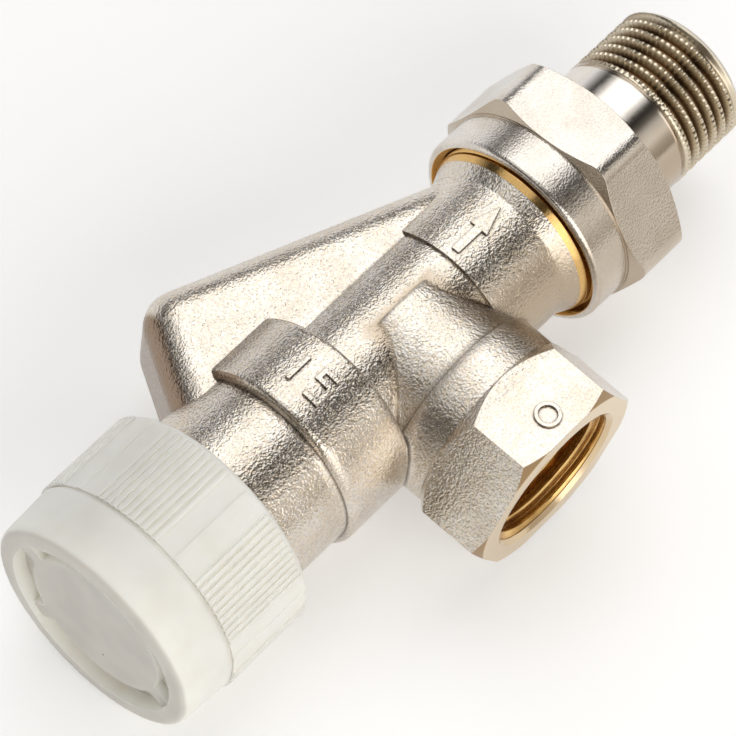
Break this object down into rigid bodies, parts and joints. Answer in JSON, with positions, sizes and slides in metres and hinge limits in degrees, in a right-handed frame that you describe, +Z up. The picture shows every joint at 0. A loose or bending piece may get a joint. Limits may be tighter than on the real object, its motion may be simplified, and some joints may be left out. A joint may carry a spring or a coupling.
{
  "type": "axial thermostatic radiator valve",
  "caption": "Axial radiator valve: forged body with a threaded pipe socket at the side, a screw-on cap over the valve insert, and a union nut with a threaded radiator tail in line with it.",
  "frame": {"origin": "centre of the outer end of the pipe socket's thread", "axes": "+X along the main axis towards the radiator tail, -Y out of the pipe socket, +Z up through the side with the flow arrow"},
  "size_m": [0.1165, 0.0533, 0.0342],
  "materials": {
    "plated_body": "nickel plated over a shot-blasted forging",
    "plated_nut": "nickel plated, satin",
    "plated_tail": "nickel plated, turned",
    "cap_plastic": "moulded, satin",
    "bare_brass": "turned",
    "stainless": "ground",
    "seal_rubber": "moulded"
  },
  "bodies": {
    "valve": {"valve_body": "plated_body", "insert_housing": "bare_brass", "insert_o_ring": "seal_rubber", "gland_nut": "bare_brass", "gland_washer": "stainless", "gland_o_ring": "seal_rubber", "guide_bush": "bare_brass", "return_spring": "stainless"},
    "spindle": {"spindle": "bare_brass", "pressure_pin": "stainless", "spindle_clip": "stainless", "spring_washer": "stainless", "disc_carrier": "bare_brass", "seal_disc": "seal_rubber", "disc_nut": "bare_brass"},
    "cap": {"protective_cap": "cap_plastic"},
    "tail": {"tailpiece": "plated_tail", "tail_gasket": "seal_rubber"},
    "nut": {"union_nut": "plated_nut"}
  },
  "joints": [
    {"name": "spindle_slide", "type": "slide", "parent": "valve", "child": "spindle", "axis": [1, 0, 0], "range_m": [0, 0.003], "deforming": ["return_spring"]},
    {"name": "cap_turn", "type": "hinge", "parent": "spindle", "child": "cap", "pos_m": [-0.047, 0.0277, 0], "axis": [1, 0, 0], "range_deg": [0, 720]},
    {"name": "tail_slide", "type": "slide", "parent": "valve", "child": "tail", "axis": [1, 0, 0], "range_m": [0, 0.0091]},
    {"name": "nut_turn", "type": "hinge", "parent": "tail", "child": "nut", "pos_m": [0.0312, 0.0277, 0], "axis": [1, 0, 0], "range_deg": [0, 1800]}
  ],
  "couplings": [
    {"joint": "spindle_slide", "follows": "cap_turn", "m_per_rad": 0.00023873},
    {"joint": "tail_slide", "follows": "nut_turn", "m_per_rad": 0.00028871}
  ]
}
